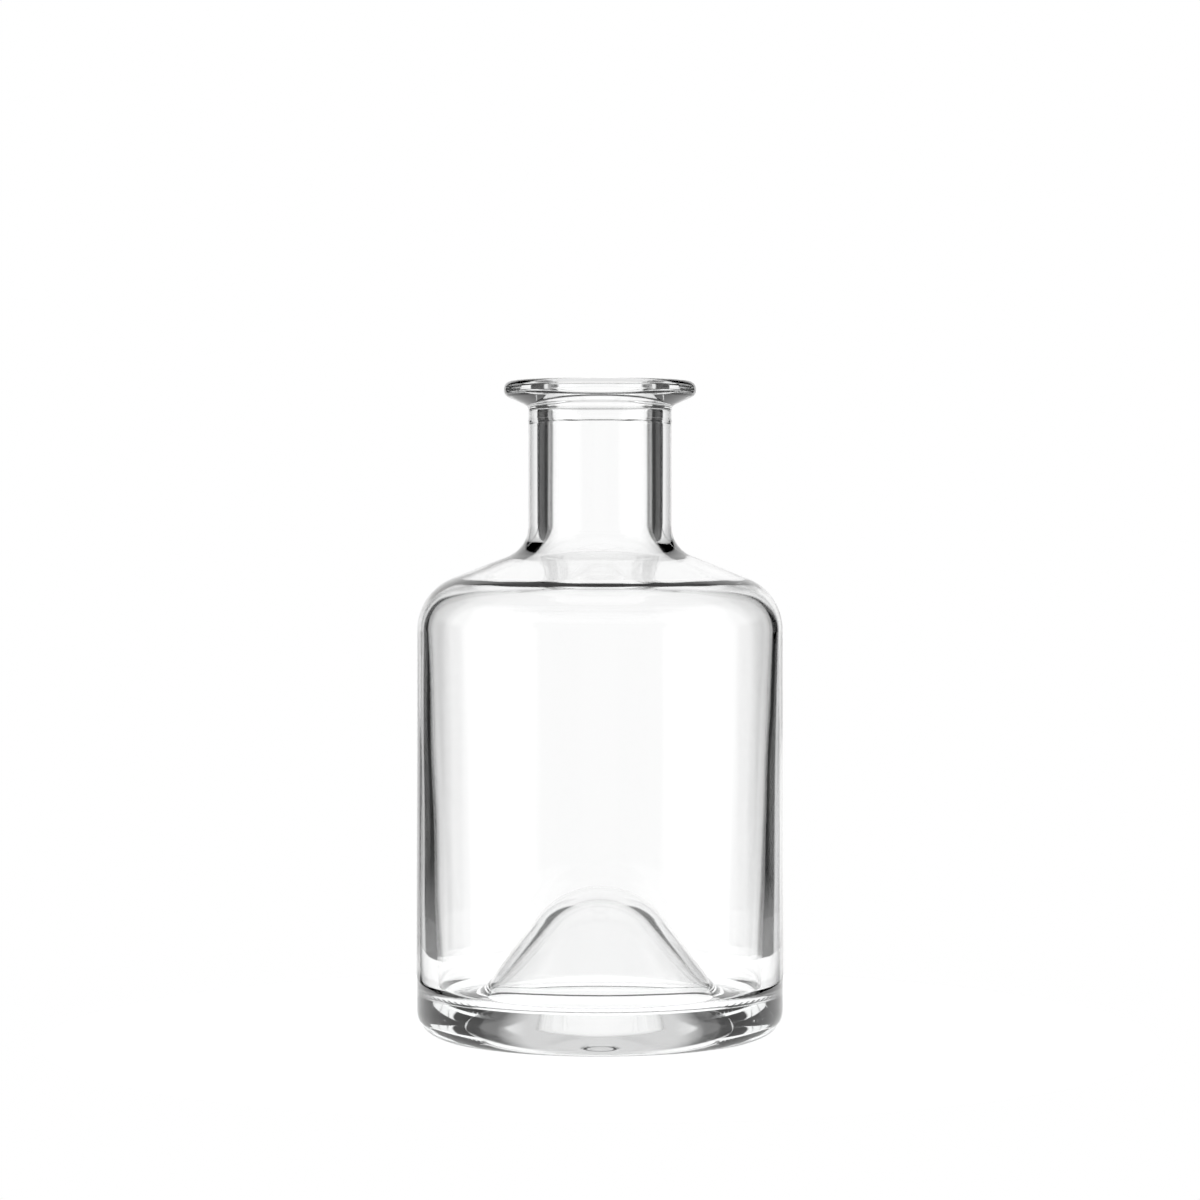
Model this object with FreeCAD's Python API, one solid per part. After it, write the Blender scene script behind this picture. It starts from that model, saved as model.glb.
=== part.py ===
import FreeCAD, Part
import math
import os

# A clear glass bottle of the old dispensing kind: straight round body, low sloping shoulder,
# short neck with a flat flanged lip for a cork, and a thick base pushed up into a tall punt.
# Millimetres, +Z up. The origin is on the bottle's own axis, on the plane that it stands on.
# The glass is one turned solid: a closed half section, spun round Z.

# Outside of the glass
HEIGHT = 118.0            # standing plane to the top of the lip
BODY_DIAMETER = 65.9      # the body under the shoulder
HEEL_SWELL = 0.3          # how much wider the body is just above the heel
HEEL_RADIUS = 5.0         # rounding between the body and the standing ring
SHOULDER_DROP = 30.1      # lip's top down to where the neck's side meets the shoulder's slope
SHOULDER_SLOPE = 21.6     # degrees below level
SHOULDER_ROUNDING = 10.1  # slope into the body
NECK_FLARE = 5.9          # neck into the slope

# Lip: a flat flange with a rounded rim, its underside sloping in to the neck
LIP_OVERHANG = 4.45       # how far the rim stands out from the neck
LIP_RIM_HEIGHT = 2.55     # lip's top down to the underside's slope, at the rim
LIP_UNDER_SLOPE = 24.0    # degrees below level
LIP_RIM_ROUNDING = 1.4
LIP_UNDER_FILLET = 1.3    # underside's slope into the neck
MOUTH_ROUNDING = 1.2

# Inside of the glass
BORE_DIAMETER = 19.0      # neck and mouth, straight for the cork
NECK_WALL = 3.4           # glass at the side of the neck
BODY_WALL_TOP = 1.7       # glass at the side of the body, under the shoulder
BODY_WALL_BASE = 3.8      # and at the trough: a blown wall is thicker low down
SHOULDER_WALL = 2.15      # glass square to the shoulder's slope
INNER_NECK_FLARE = 8.5

# Base: a ring to stand on, a tall punt, and a trough inside between the punt and the wall
TROUGH_HEIGHT = 7.1       # standing plane up to the floor of the trough
TROUGH_WIDTH = 7.5        # wall to the corner where the punt's side starts
TROUGH_FLAT = 0.2         # level bottom of the trough, between its two fillets
TROUGH_FILLET = 8.0       # trough's floor into the punt's side; the wall's fillet takes the rest
PUNT_HEIGHT = 26.5        # standing plane up to the punt's top, inside the bottle
PUNT_DOME_RADIUS = 14.2   # rounded top of the punt
PUNT_TOP_GLASS = 2.5      # glass between the punt's top and the hollow underneath
HOLLOW_DOME_RADIUS = 12.2
HOLLOW_RISE = 1.8         # standing plane up to the corner where the hollow's side starts
HOLLOW_FOOT_FILLET = 1.3
RING_WIDTH = 2.3          # standing ring, heel's rounding to the corner at the ring's inner side
RING_LEAN = 0.3           # how far the ring's inner side leans in on its way up to that corner
RING_FILLET = 0.4


def point(radius, height):
    return FreeCAD.Vector(radius, 0, height)


def slope_fall(run, slope):
    """How far a line at this slope falls over a level run."""
    return run * math.tan(math.radians(slope))


def dome_corner(top, dome_radius, foot_radius, foot_height):
    """Corner, level with a dome's top, that the tangent from the foot up to the dome runs to.

    The rounding of dome_radius at this corner is then the dome, starting on the axis.
    """
    foot_drop = top - dome_radius - foot_height
    foot_distance = math.hypot(foot_radius, foot_drop)
    foot_direction = math.atan2(foot_radius, -foot_drop)
    slope = foot_direction - math.acos(dome_radius / foot_distance)
    return (dome_radius * math.tan(slope / 2), top, dome_radius)


def outer_outline():
    """From the top of the hollow underneath, round the heel and up to the lip's rim."""
    body = BODY_DIAMETER / 2
    heel = body + HEEL_SWELL / 2
    neck = BORE_DIAMETER / 2 + NECK_WALL
    lip = neck + LIP_OVERHANG
    hollow_top = PUNT_HEIGHT - PUNT_TOP_GLASS
    ring_inside = heel - HEEL_RADIUS - RING_WIDTH
    hollow_foot = ring_inside - RING_LEAN
    shoulder_top = HEIGHT - SHOULDER_DROP
    shoulder_edge = shoulder_top - slope_fall(body - neck, SHOULDER_SLOPE)
    lip_under = HEIGHT - LIP_RIM_HEIGHT
    neck_under = lip_under - slope_fall(LIP_OVERHANG, LIP_UNDER_SLOPE)
    return [
        (0, hollow_top, 0),
        dome_corner(hollow_top, HOLLOW_DOME_RADIUS, hollow_foot, HOLLOW_RISE),
        (hollow_foot, HOLLOW_RISE, HOLLOW_FOOT_FILLET),
        (ring_inside, 0, RING_FILLET),
        (heel, 0, HEEL_RADIUS),
        (body, shoulder_edge, SHOULDER_ROUNDING),
        (neck, shoulder_top, NECK_FLARE),
        (neck, neck_under, LIP_UNDER_FILLET),
        (lip, lip_under, LIP_RIM_ROUNDING),
        (lip, HEIGHT, LIP_RIM_ROUNDING),
    ]


def inner_outline():
    """From the mouth down the inside to the top of the punt."""
    bore = BORE_DIAMETER / 2
    wall_top = BODY_DIAMETER / 2 - BODY_WALL_TOP
    wall_base = (BODY_DIAMETER + HEEL_SWELL) / 2 - BODY_WALL_BASE
    slope_start = HEIGHT - SHOULDER_DROP + slope_fall(NECK_WALL, SHOULDER_SLOPE)
    flare = slope_start - SHOULDER_WALL / math.cos(math.radians(SHOULDER_SLOPE))
    shoulder = flare - slope_fall(wall_top - bore, SHOULDER_SLOPE)
    punt_foot = wall_base - TROUGH_WIDTH
    punt_corner = dome_corner(PUNT_HEIGHT, PUNT_DOME_RADIUS, punt_foot, TROUGH_HEIGHT)
    punt_slope = math.atan2(PUNT_HEIGHT - TROUGH_HEIGHT, punt_foot - punt_corner[0])
    wall_lean = math.atan2(wall_top - wall_base, shoulder - TROUGH_HEIGHT)
    floor_left = TROUGH_WIDTH - TROUGH_FLAT - TROUGH_FILLET * math.tan(punt_slope / 2)
    wall_fillet = floor_left / math.tan((math.pi / 2 + wall_lean) / 2)
    return [
        (bore, HEIGHT, MOUTH_ROUNDING),
        (bore, flare, INNER_NECK_FLARE),
        (wall_top, shoulder, SHOULDER_ROUNDING - SHOULDER_WALL),
        (wall_base, TROUGH_HEIGHT, wall_fillet),
        (punt_foot, TROUGH_HEIGHT, TROUGH_FILLET),
        punt_corner,
        (0, PUNT_HEIGHT, 0),
    ]


def rounded_edges(corners):
    """Lines through (radius, height, rounding) corners, with a tangent arc at each."""
    points = [point(radius, height) for radius, height, rounding in corners]
    roundings = [rounding for radius, height, rounding in corners]
    edges = []
    reached = points[0]
    for before, here, after, rounding in zip(points, points[1:], points[2:], roundings[1:]):
        back = (before - here).normalize()
        ahead = (after - here).normalize()
        half_angle = back.getAngle(ahead) / 2
        setback = rounding / math.tan(half_angle)
        inset = rounding / math.sin(half_angle) - rounding
        arc_start = here + back * setback
        arc_middle = here + (back + ahead).normalize() * inset
        arc_end = here + ahead * setback
        edges += line_if_apart(reached, arc_start)
        edges.append(Part.Arc(arc_start, arc_middle, arc_end).toShape())
        reached = arc_end
    return edges + line_if_apart(reached, points[-1])


def line_if_apart(start, end):
    """The straight edge between two points, or nothing where two arcs already meet."""
    return [Part.makeLine(start, end)] if start.distanceToPoint(end) > 1e-6 else []


def bottle():
    edges = rounded_edges(outer_outline() + inner_outline())
    axis_edge = Part.makeLine(point(0, PUNT_HEIGHT), point(0, PUNT_HEIGHT - PUNT_TOP_GLASS))
    half_section = Part.Face(Part.Wire(edges + [axis_edge]))
    return half_section.revolve(point(0, 0), FreeCAD.Vector(0, 0, 1), 360)


os.makedirs("parts", exist_ok=True)
bottle().exportStep("parts/bottle.step")
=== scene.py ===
import math

import bpy
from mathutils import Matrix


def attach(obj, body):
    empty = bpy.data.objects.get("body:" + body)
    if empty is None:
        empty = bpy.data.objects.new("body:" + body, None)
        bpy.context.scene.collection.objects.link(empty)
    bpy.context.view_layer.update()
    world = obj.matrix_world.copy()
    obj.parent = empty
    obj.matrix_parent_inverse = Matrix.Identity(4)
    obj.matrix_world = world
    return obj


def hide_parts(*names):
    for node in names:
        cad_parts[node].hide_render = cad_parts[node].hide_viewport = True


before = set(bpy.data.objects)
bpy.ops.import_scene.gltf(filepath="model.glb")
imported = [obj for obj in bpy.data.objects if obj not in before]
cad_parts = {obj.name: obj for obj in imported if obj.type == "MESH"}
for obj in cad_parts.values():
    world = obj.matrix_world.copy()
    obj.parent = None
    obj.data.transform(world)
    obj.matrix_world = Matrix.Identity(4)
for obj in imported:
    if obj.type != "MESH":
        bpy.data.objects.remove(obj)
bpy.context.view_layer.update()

# ---------------------------------------------------------------------------------------------
# The bottle: one piece of clear flint glass, blown in a two-part mould and pushed up underneath
# into a tall punt. Its section is the one that the mould and the blow give it, turned round the
# axis. Sizes are in metres, from the plane that it stands on.
MM = 0.001

height = 118.0 * MM
body_radius = 32.95 * MM
heel_radius = body_radius + 0.15 * MM
bore_radius = 9.5 * MM
neck_radius = bore_radius + 3.4 * MM
lip_radius = neck_radius + 4.45 * MM
shoulder_slope = math.radians(21.6)
lip_under_slope = math.radians(24.0)
heel_rounding = 5.0 * MM
shoulder_rounding = 10.1 * MM
neck_flare = 5.9 * MM
lip_under_fillet = 1.3 * MM
lip_rounding = 1.4 * MM
mouth_rounding = 1.2 * MM
shoulder_wall = 2.15 * MM

shoulder_top = height - 30.1 * MM
shoulder_edge = shoulder_top - (body_radius - neck_radius) * math.tan(shoulder_slope)
lip_under = height - 2.55 * MM
neck_under = lip_under - (lip_radius - neck_radius) * math.tan(lip_under_slope)

wall_top = body_radius - 1.7 * MM
wall_base = heel_radius - 3.8 * MM
inner_flare = (shoulder_top + (neck_radius - bore_radius) * math.tan(shoulder_slope)
               - shoulder_wall / math.cos(shoulder_slope))
inner_shoulder = inner_flare - (wall_top - bore_radius) * math.tan(shoulder_slope)

punt_top = 26.5 * MM
punt_dome = 14.2 * MM
trough_floor = 7.1 * MM
trough_width = 7.5 * MM
trough_flat = 0.2 * MM
punt_fillet = 8.0 * MM
punt_foot = wall_base - trough_width
hollow_top = punt_top - 2.5 * MM
hollow_dome = 12.2 * MM
hollow_rise = 1.8 * MM
ring_inside = heel_radius - heel_rounding - 2.3 * MM
hollow_foot = ring_inside - 0.3 * MM


def tangent_dome(top, dome_radius, foot_radius, foot_height):
    """The corner, level with a dome's top, of the straight side that rises to it from its foot."""
    drop = top - dome_radius - foot_height
    side = math.atan2(foot_radius, -drop) - math.acos(dome_radius / math.hypot(foot_radius, drop))
    return (dome_radius * math.tan(side / 2), top, dome_radius), side


punt_corner, punt_side = tangent_dome(punt_top, punt_dome, punt_foot, trough_floor)
hollow_corner, _ = tangent_dome(hollow_top, hollow_dome, hollow_foot, hollow_rise)
wall_lean = math.atan2(wall_top - wall_base, inner_shoulder - trough_floor)
trough_fillet = ((trough_width - trough_flat - punt_fillet * math.tan(punt_side / 2))
                 / math.tan((math.pi / 2 + wall_lean) / 2))

# Each corner is its radius from the axis, its height and the rounding that it has in the glass.
# The bead under the lip is where the ring that forms the lip closes on the neck's mould.
bead = height - 7.2 * MM
outside = [
    (0.0, hollow_top, 0.0),
    hollow_corner,
    (hollow_foot, hollow_rise, 1.3 * MM),
    (ring_inside, 0.0, 0.4 * MM),
    (heel_radius, 0.0, heel_rounding),
    (body_radius, shoulder_edge, shoulder_rounding),
    (neck_radius, shoulder_top, neck_flare),
    (neck_radius, bead - 0.35 * MM, 0.4 * MM),
    (neck_radius + 0.10 * MM, bead, 0.2 * MM),
    (neck_radius, bead + 0.35 * MM, 0.4 * MM),
    (neck_radius, neck_under, lip_under_fillet),
    (lip_radius, lip_under, lip_rounding),
    (lip_radius, height, lip_rounding),
]
inside = [
    (bore_radius, height, mouth_rounding),
    (bore_radius, inner_flare, 8.5 * MM),
    (wall_top, inner_shoulder, 7.95 * MM),
    (wall_base, trough_floor, trough_fillet),
    (punt_foot, trough_floor, punt_fillet),
    punt_corner,
    (0.0, punt_top, 0.0),
]


def rounded_line(corners, step, turn):
    """Points along straight runs with a tangent arc at each corner, about a step or a turn apart."""
    points = [corners[0][:2]]

    def run_to(end):
        start = points[-1]
        pieces = math.ceil(math.dist(start, end) / step - 1e-6)
        for k in range(1, pieces + 1):
            points.append((start[0] + (end[0] - start[0]) * k / pieces,
                           start[1] + (end[1] - start[1]) * k / pieces))

    for before, here, after in zip(corners, corners[1:], corners[2:]):
        back = math.atan2(before[1] - here[1], before[0] - here[0])
        ahead = math.atan2(after[1] - here[1], after[0] - here[0])
        opening = (ahead - back + math.pi) % (2 * math.pi) - math.pi
        rounding = here[2]
        setback = rounding / math.tan(abs(opening) / 2)
        reach = rounding / math.sin(abs(opening) / 2)
        middle = back + opening / 2
        centre = (here[0] + math.cos(middle) * reach, here[1] + math.sin(middle) * reach)
        run_to((here[0] + math.cos(back) * setback, here[1] + math.sin(back) * setback))
        first = math.atan2(points[-1][1] - centre[1], points[-1][0] - centre[0])
        sweep = -math.copysign(math.pi - abs(opening), opening)
        pieces = max(3, math.ceil(abs(sweep) / turn))
        for k in range(1, pieces + 1):
            angle = first + sweep * k / pieces
            points.append((centre[0] + math.cos(angle) * rounding, centre[1] + math.sin(angle) * rounding))
    run_to(corners[-1][:2])
    return points


section = rounded_line(outside + inside, 2.2 * MM, math.radians(4.5))
section_mesh = bpy.data.meshes.new("glass_section")
section_mesh.from_pydata([(r, 0.0, z) for r, z in section], [(k, k + 1) for k in range(len(section) - 1)], [])
bottle = bpy.data.objects.new("bottle_glass", section_mesh)
bpy.context.scene.collection.objects.link(bottle)

# The finish of the glass: fire polish with a faint swim in it, a scuffed ring where it stands,
# the knurls that keep that ring off a hot plate, and the fine seams of the two half moulds.
polish = bpy.data.node_groups.new("Blown_Glass_Surface", "ShaderNodeTree")
for name, kind, value in (("Swim Size", "NodeSocketFloat", 0.014), ("Knurls", "NodeSocketFloat", 84.0),
                          ("Ring Radius", "NodeSocketFloat", 0.0272),
                          ("Seam Width", "NodeSocketFloat", 0.00025)):
    socket = polish.interface.new_socket(name, in_out="INPUT", socket_type=kind)
    socket.default_value = value
polish.interface.new_socket("Height", in_out="OUTPUT", socket_type="NodeSocketFloat")
polish.interface.new_socket("Roughness", in_out="OUTPUT", socket_type="NodeSocketFloat")


def math_node(tree, operation, *inputs, clamp=False):
    """A Math node of a node tree, fed by sockets or plain numbers."""
    node = tree.nodes.new("ShaderNodeMath")
    node.operation = operation
    node.use_clamp = clamp
    for socket, value in zip(node.inputs, inputs):
        if isinstance(value, (int, float)):
            socket.default_value = value
        else:
            tree.links.new(value, socket)
    return node.outputs[0]


def fade(tree, value, start, end):
    """A mask that goes smoothly from 0 to 1 as a value goes from start to end."""
    node = tree.nodes.new("ShaderNodeMapRange")
    node.interpolation_type = "SMOOTHSTEP"
    tree.links.new(value, node.inputs["Value"])
    node.inputs["From Min"].default_value = start
    node.inputs["From Max"].default_value = end
    return node.outputs[0]


sizes = polish.nodes.new("NodeGroupInput")
answer = polish.nodes.new("NodeGroupOutput")
place = polish.nodes.new("ShaderNodeTexCoord")
apart = polish.nodes.new("ShaderNodeSeparateXYZ")
polish.links.new(place.outputs["Object"], apart.inputs[0])
across, depth, up = apart.outputs
radius = math_node(polish, "SQRT", math_node(polish, "ADD", math_node(polish, "MULTIPLY", across, across),
                                             math_node(polish, "MULTIPLY", depth, depth)))
stretched = polish.nodes.new("ShaderNodeMapping")
stretched.inputs["Scale"].default_value = (1.0, 1.0, 0.45)
polish.links.new(place.outputs["Object"], stretched.inputs["Vector"])
swim = polish.nodes.new("ShaderNodeTexNoise")
swim.inputs["Detail"].default_value = 1.0
polish.links.new(stretched.outputs[0], swim.inputs["Vector"])
polish.links.new(math_node(polish, "DIVIDE", 1.0, sizes.outputs["Swim Size"]), swim.inputs["Scale"])
off_ring = math_node(polish, "ABSOLUTE", math_node(polish, "SUBTRACT", radius, sizes.outputs["Ring Radius"]))
on_ring = math_node(polish, "MULTIPLY", fade(polish, off_ring, 0.0022, 0.0008),
                    fade(polish, up, 0.0011, 0.0002))
bearing = math_node(polish, "ARCTAN2", depth, across)
knurl_wave = math_node(polish, "SINE", math_node(polish, "MULTIPLY", bearing, sizes.outputs["Knurls"]))
knurl = math_node(polish, "MULTIPLY", knurl_wave, on_ring)
seam_off = math_node(polish, "DIVIDE", math_node(polish, "ABSOLUTE", depth), sizes.outputs["Seam Width"])
outer_side = fade(polish, radius, 0.0115, 0.0122)
seam_line = math_node(polish, "MULTIPLY", fade(polish, seam_off, 1.0, 0.2), outer_side)
seam = math_node(polish, "MULTIPLY", seam_line, fade(polish, up, 0.1105, 0.1100))
swim_depth, knurl_depth, seam_depth = 0.10, 0.05, 0.02
relief_lines = math_node(polish, "ADD", math_node(polish, "MULTIPLY", knurl, knurl_depth),
                         math_node(polish, "MULTIPLY", seam, seam_depth))
total = math_node(polish, "ADD", math_node(polish, "MULTIPLY", swim.outputs["Fac"], swim_depth), relief_lines)
polish.links.new(total, answer.inputs["Height"])
scuff = polish.nodes.new("ShaderNodeTexNoise")
scuff.inputs["Scale"].default_value = 900.0
scuff.inputs["Detail"].default_value = 3.0
polish.links.new(place.outputs["Object"], scuff.inputs["Vector"])
scuffed = math_node(polish, "MULTIPLY", fade(polish, scuff.outputs["Fac"], 0.35, 0.7), on_ring)
scuff_roughness = 0.22
polish.links.new(math_node(polish, "MULTIPLY", scuffed, scuff_roughness), answer.inputs["Roughness"])

glass = bpy.data.materials.new("Clear_Flint_Glass")
glass.use_nodes = True
tree = glass.node_tree
surface = tree.nodes["Principled BSDF"]
surface.inputs["Base Color"].default_value = (1.0, 1.0, 1.0, 1.0)
surface.inputs["Metallic"].default_value = 0.0
surface.inputs["IOR"].default_value = 1.52
surface.inputs["Transmission Weight"].default_value = 1.0
finish = tree.nodes.new("ShaderNodeGroup")
finish.node_tree = polish
relief = tree.nodes.new("ShaderNodeBump")
relief.inputs["Strength"].default_value = 1.0
relief.inputs["Distance"].default_value = 0.001
tree.links.new(finish.outputs["Height"], relief.inputs["Height"])
tree.links.new(relief.outputs["Normal"], surface.inputs["Normal"])
tree.links.new(finish.outputs["Roughness"], surface.inputs["Roughness"])
# Light for the floor goes straight through, a little dimmed, so that the bottle keeps a soft shadow.
passes = tree.nodes.new("ShaderNodeBsdfTransparent")
passes.inputs["Color"].default_value = (0.90, 0.905, 0.905, 1.0)
ray = tree.nodes.new("ShaderNodeLightPath")
either = tree.nodes.new("ShaderNodeMixShader")
tree.links.new(ray.outputs["Is Shadow Ray"], either.inputs[0])
tree.links.new(surface.outputs[0], either.inputs[1])
tree.links.new(passes.outputs[0], either.inputs[2])
tree.links.new(either.outputs[0], tree.nodes["Material Output"].inputs["Surface"])
tint = tree.nodes.new("ShaderNodeVolumeAbsorption")
tint.inputs["Color"].default_value = (0.90, 0.955, 0.94, 1.0)
tint.inputs["Density"].default_value = 6.0
tree.links.new(tint.outputs[0], tree.nodes["Material Output"].inputs["Volume"])

# Turning the section: a grid as long as the section and as wide as the sides is wrapped round the
# axis, and the inside wall, which no mould touches, is left gently uneven.
turned = bpy.data.node_groups.new("Turned_Glass", "GeometryNodeTree")
turned.is_modifier = True
turned.interface.new_socket("Section", in_out="INPUT", socket_type="NodeSocketGeometry")
for name, kind, value in (("Sides", "NodeSocketInt", 240), ("Unevenness", "NodeSocketFloat", 0.00012),
                          ("Wave Size", "NodeSocketFloat", 0.020), ("Seed", "NodeSocketFloat", 7.0),
                          ("Material", "NodeSocketMaterial", None)):
    socket = turned.interface.new_socket(name, in_out="INPUT", socket_type=kind)
    if value is not None:
        socket.default_value = value
turned.interface.new_socket("Glass", in_out="OUTPUT", socket_type="NodeSocketGeometry")


def geometry_node(kind, **settings):
    node = turned.nodes.new(kind)
    for name, value in settings.items():
        setattr(node, name, value)
    return node


def link(source, target):
    turned.links.new(source, target)


given = geometry_node("NodeGroupInput")
made = geometry_node("NodeGroupOutput")
counted = geometry_node("GeometryNodeAttributeDomainSize", component="MESH")
link(given.outputs["Section"], counted.inputs[0])
columns = math_node(turned, "ADD", given.outputs["Sides"], 1)
grid = geometry_node("GeometryNodeMeshGrid")
link(counted.outputs["Point Count"], grid.inputs["Vertices X"])
link(columns, grid.inputs["Vertices Y"])
number = geometry_node("GeometryNodeInputIndex")
middle_of = math_node(turned, "ADD", number.outputs[0], 0.5)
along = math_node(turned, "FLOOR", math_node(turned, "DIVIDE", middle_of, columns))
round_it = math_node(turned, "SUBTRACT", number.outputs[0], math_node(turned, "MULTIPLY", along, columns))
whole_turns = math_node(turned, "MULTIPLY", round_it, 2 * math.pi)
angle = math_node(turned, "DIVIDE", whole_turns, given.outputs["Sides"])
where = geometry_node("GeometryNodeInputPosition")
taken = geometry_node("GeometryNodeSampleIndex", data_type="FLOAT_VECTOR", domain="POINT")
link(given.outputs["Section"], taken.inputs["Geometry"])
link(where.outputs[0], taken.inputs["Value"])
link(along, taken.inputs["Index"])
spin = geometry_node("ShaderNodeVectorRotate", rotation_type="Z_AXIS")
link(taken.outputs[0], spin.inputs["Vector"])
link(angle, spin.inputs["Angle"])
wrapped = geometry_node("GeometryNodeSetPosition")
link(grid.outputs["Mesh"], wrapped.inputs["Geometry"])
link(spin.outputs[0], wrapped.inputs["Position"])
closed = geometry_node("GeometryNodeMergeByDistance")
closed.inputs["Distance"].default_value = 0.000002
link(wrapped.outputs[0], closed.inputs["Geometry"])
outwards = geometry_node("GeometryNodeFlipFaces")
link(closed.outputs[0], outwards.inputs[0])

here = geometry_node("GeometryNodeInputPosition")
facing = geometry_node("GeometryNodeInputNormal")
parts = geometry_node("ShaderNodeSeparateXYZ")
link(here.outputs[0], parts.inputs[0])
flat = geometry_node("ShaderNodeCombineXYZ")
link(parts.outputs[0], flat.inputs[0])
link(parts.outputs[1], flat.inputs[1])
outward = geometry_node("ShaderNodeVectorMath", operation="DOT_PRODUCT")
unit = geometry_node("ShaderNodeVectorMath", operation="NORMALIZE")
link(flat.outputs[0], unit.inputs[0])
link(unit.outputs[0], outward.inputs[0])
link(facing.outputs[0], outward.inputs[1])
inner_wall = fade(turned, outward.outputs["Value"], -0.6, -0.95)
between = math_node(turned, "MULTIPLY", fade(turned, parts.outputs[2], 0.014, 0.030),
                    fade(turned, parts.outputs[2], 0.080, 0.070))
spread = geometry_node("ShaderNodeCombineXYZ")
link(math_node(turned, "MULTIPLY", parts.outputs[2], 0.45), spread.inputs[2])
link(parts.outputs[0], spread.inputs[0])
link(parts.outputs[1], spread.inputs[1])
waves = geometry_node("ShaderNodeTexNoise", noise_dimensions="4D")
waves.inputs["Detail"].default_value = 0.0
link(spread.outputs[0], waves.inputs["Vector"])
link(given.outputs["Seed"], waves.inputs["W"])
link(math_node(turned, "DIVIDE", 1.0, given.outputs["Wave Size"]), waves.inputs["Scale"])
swing = math_node(turned, "MULTIPLY", math_node(turned, "SUBTRACT", waves.outputs[0], 0.5), 2.0)
push = math_node(turned, "MULTIPLY", math_node(turned, "MULTIPLY", swing, given.outputs["Unevenness"]),
                 math_node(turned, "MULTIPLY", inner_wall, between))
shift = geometry_node("ShaderNodeVectorMath", operation="SCALE")
link(facing.outputs[0], shift.inputs[0])
link(push, shift.inputs["Scale"])
uneven = geometry_node("GeometryNodeSetPosition")
link(outwards.outputs[0], uneven.inputs["Geometry"])
link(shift.outputs[0], uneven.inputs["Offset"])
smooth = geometry_node("GeometryNodeSetShadeSmooth")
link(uneven.outputs[0], smooth.inputs[0])
real = geometry_node("GeometryNodeRealizeInstances")
link(smooth.outputs[0], real.inputs[0])
painted = geometry_node("GeometryNodeSetMaterial")
link(real.outputs[0], painted.inputs["Geometry"])
link(given.outputs["Material"], painted.inputs["Material"])
link(painted.outputs[0], made.inputs[0])

lathe = bottle.modifiers.new("Turned", "NODES")
lathe.node_group = turned
for item in turned.interface.items_tree:
    if item.item_type == "SOCKET" and item.in_out == "INPUT" and item.name == "Material":
        lathe[item.identifier] = glass
bottle_mesh = bpy.data.meshes.new_from_object(bottle.evaluated_get(bpy.context.evaluated_depsgraph_get()))
bottle.modifiers.remove(lathe)
bottle.data = bottle_mesh
bottle_mesh.name = "bottle_glass"
bottle_mesh.materials.clear()
bottle_mesh.materials.append(glass)
bottle_mesh.polygons.foreach_set("material_index", [0] * len(bottle_mesh.polygons))
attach(bottle, "root")
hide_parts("bottle")

# ---------------------------------------------------------------------------------------------
# The plinth: a small round of pale matt paper under the bottle. It shows white to the camera, in
# reflections and through the glass, and it takes the bottle's soft shadow.
plinth_radius = 0.10
plinth_sides = 64
under_bottle = -0.00002
paper_glow = 0.62
plinth_mesh = bpy.data.meshes.new("plinth")
plinth_turns = [k * 2 * math.pi / plinth_sides for k in range(plinth_sides)]
plinth_mesh.from_pydata([(plinth_radius * math.cos(turn), plinth_radius * math.sin(turn), under_bottle)
                         for turn in plinth_turns], [], [list(range(plinth_sides))])
plinth = bpy.data.objects.new("plinth", plinth_mesh)
bpy.context.scene.collection.objects.link(plinth)
paper = bpy.data.materials.new("Pale_Paper")
paper.use_nodes = True
tree = paper.node_tree
matt = tree.nodes["Principled BSDF"]
matt.inputs["Base Color"].default_value = (0.82, 0.82, 0.82, 1.0)
matt.inputs["Roughness"].default_value = 1.0
matt.inputs["Specular IOR Level"].default_value = 0.0
matt.inputs["Emission Color"].default_value = (1.0, 1.0, 1.0, 1.0)
ray = tree.nodes.new("ShaderNodeLightPath")
by_glass = math_node(tree, "ADD", ray.outputs["Is Glossy Ray"], ray.outputs["Is Transmission Ray"])
seen = math_node(tree, "ADD", ray.outputs["Is Camera Ray"], by_glass, clamp=True)
tree.links.new(math_node(tree, "MULTIPLY", seen, paper_glow), matt.inputs["Emission Strength"])
plinth_mesh.materials.append(paper)

# ---------------------------------------------------------------------------------------------
# The studio: a white wall behind the bottle, a black flag on each side of it that draws the glass's
# dark edges, a tall soft box on each side in front, a light ceiling and a pale floor. Angles are in
# degrees from straight behind, a light of 1 is white, and the camera itself sees white all round.
wall_end, flag_end = 25, 66
box_start, box_end = 85, 135
wall_light, flag_light, box_light = 1.0, 0.0, 1.5
room_light, ceiling_light, floor_light = 0.8, 0.6, 0.8
ceiling_sine, floor_sine = 0.7, -0.2
ceiling_fade, floor_fade = 0.1, 0.05
edge_fade = 2

world = bpy.data.worlds.new("Studio")
bpy.context.scene.world = world
world.use_nodes = True
tree = world.node_tree
tree.nodes.clear()
toward = tree.nodes.new("ShaderNodeTexCoord")
apart = tree.nodes.new("ShaderNodeSeparateXYZ")
tree.links.new(toward.outputs["Generated"], apart.inputs[0])
bearing = math_node(tree, "ARCTAN2", apart.outputs[0], apart.outputs[1])
off_behind = math_node(tree, "DIVIDE", math_node(tree, "ABSOLUTE", bearing), math.pi)
bands = tree.nodes.new("ShaderNodeValToRGB")
tree.links.new(off_behind, bands.inputs[0])
stops = [(0, wall_light)]
for edge, inner, outer in ((wall_end, wall_light, flag_light), (flag_end, flag_light, room_light),
                           (box_start, room_light, box_light), (box_end, box_light, room_light)):
    stops += [(edge - edge_fade, inner), (edge + edge_fade, outer)]
stops.append((180, room_light))
elements = bands.color_ramp.elements
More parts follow.
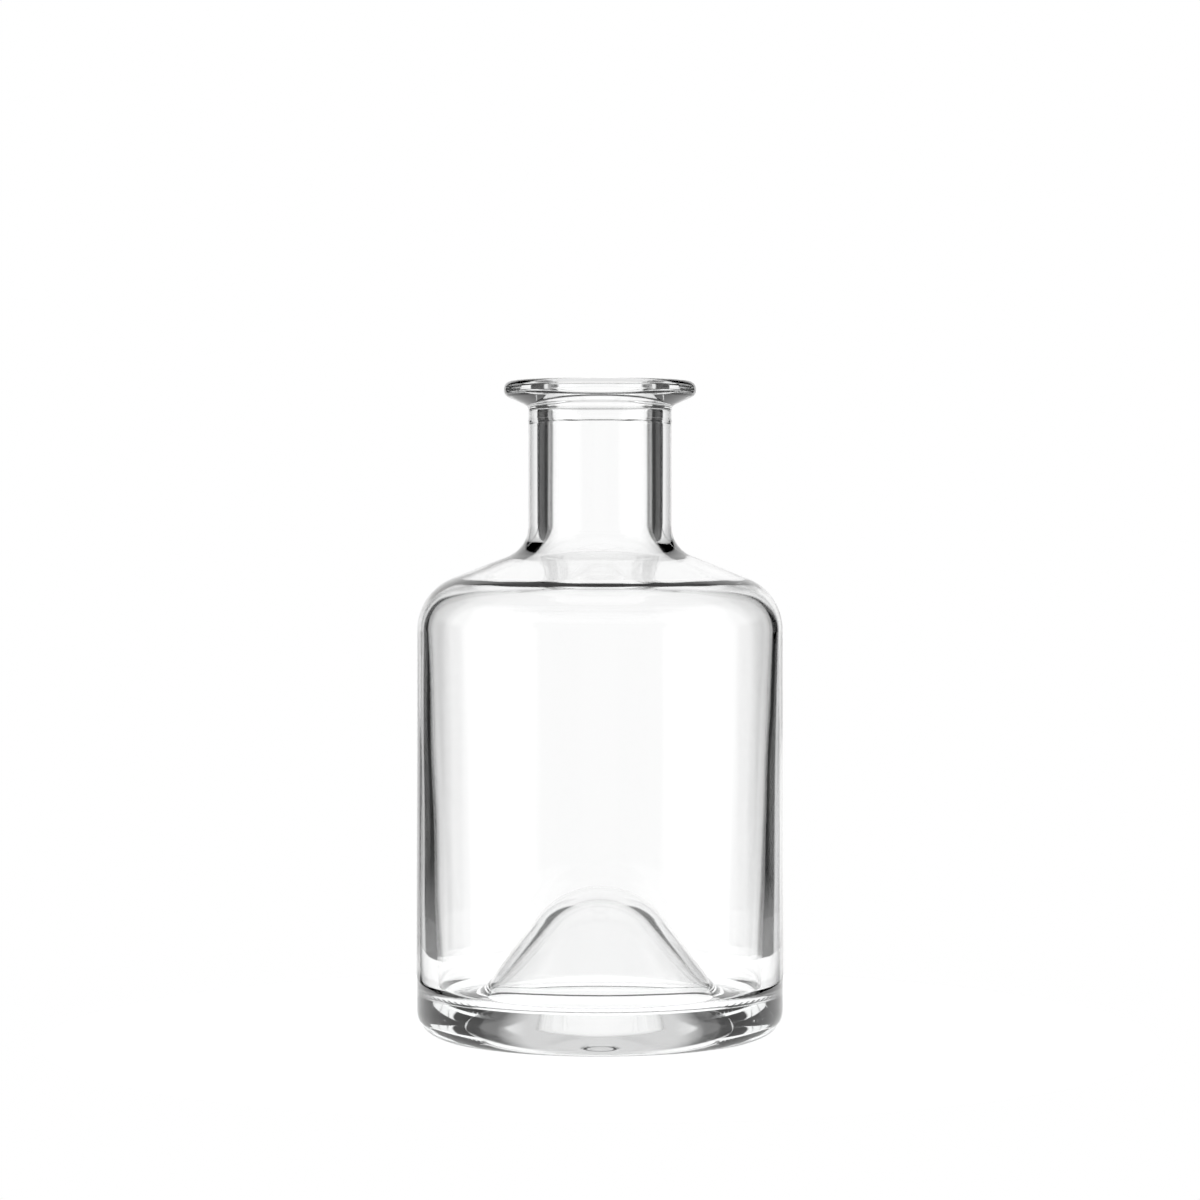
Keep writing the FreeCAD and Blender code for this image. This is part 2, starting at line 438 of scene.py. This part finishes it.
for k, (degrees, light) in enumerate(stops):
    element = elements[k] if k < 2 else elements.new(degrees / 180)
    element.position = degrees / 180
    element.color = (light, light, light, 1.0)


def beyond(picture, light, start, end):
    """The picture, giving way to an even light between two sines of the height above level."""
    rise = tree.nodes.new("ShaderNodeMapRange")
    rise.inputs["From Min"].default_value = start
    rise.inputs["From Max"].default_value = end
    tree.links.new(apart.outputs[2], rise.inputs["Value"])
    mix = tree.nodes.new("ShaderNodeMix")
    mix.data_type = "RGBA"
    tree.links.new(rise.outputs[0], mix.inputs[0])
    tree.links.new(picture, mix.inputs[6])
    mix.inputs[7].default_value = (light, light, light, 1.0)
    return mix.outputs[2]


picture = beyond(bands.outputs[0], ceiling_light, ceiling_sine - ceiling_fade, ceiling_sine + ceiling_fade)
picture = beyond(picture, floor_light, floor_sine + floor_fade, floor_sine - floor_fade)
room = tree.nodes.new("ShaderNodeBackground")
tree.links.new(picture, room.inputs["Color"])
backdrop = tree.nodes.new("ShaderNodeBackground")
backdrop.inputs["Color"].default_value = (1.0, 1.0, 1.0, 1.0)
ray = tree.nodes.new("ShaderNodeLightPath")
either = tree.nodes.new("ShaderNodeMixShader")
tree.links.new(ray.outputs["Is Camera Ray"], either.inputs[0])
tree.links.new(room.outputs[0], either.inputs[1])
tree.links.new(backdrop.outputs[0], either.inputs[2])
out = tree.nodes.new("ShaderNodeOutputWorld")
tree.links.new(either.outputs[0], out.inputs["Surface"])
bpy.context.scene.view_settings.view_transform = "Standard"

# ---------------------------------------------------------------------------------------------
# The camera: level with the top of the neck, a long lens straight on to the front.
lens = bpy.data.cameras.new("camera")
camera = bpy.data.objects.new("camera", lens)
bpy.context.scene.collection.objects.link(camera)
bpy.context.scene.camera = camera
distance = 0.674
frame_width = 0.2167
camera_height = 0.0898
frame_middle = 0.0785
camera.location = (0.0, -distance, camera_height)
camera.rotation_euler = (math.pi / 2, 0.0, 0.0)
lens.sensor_width = 36.0
lens.lens = 36.0 * distance / frame_width
lens.shift_y = (frame_middle - camera_height) / frame_width
lens.clip_start = 0.01
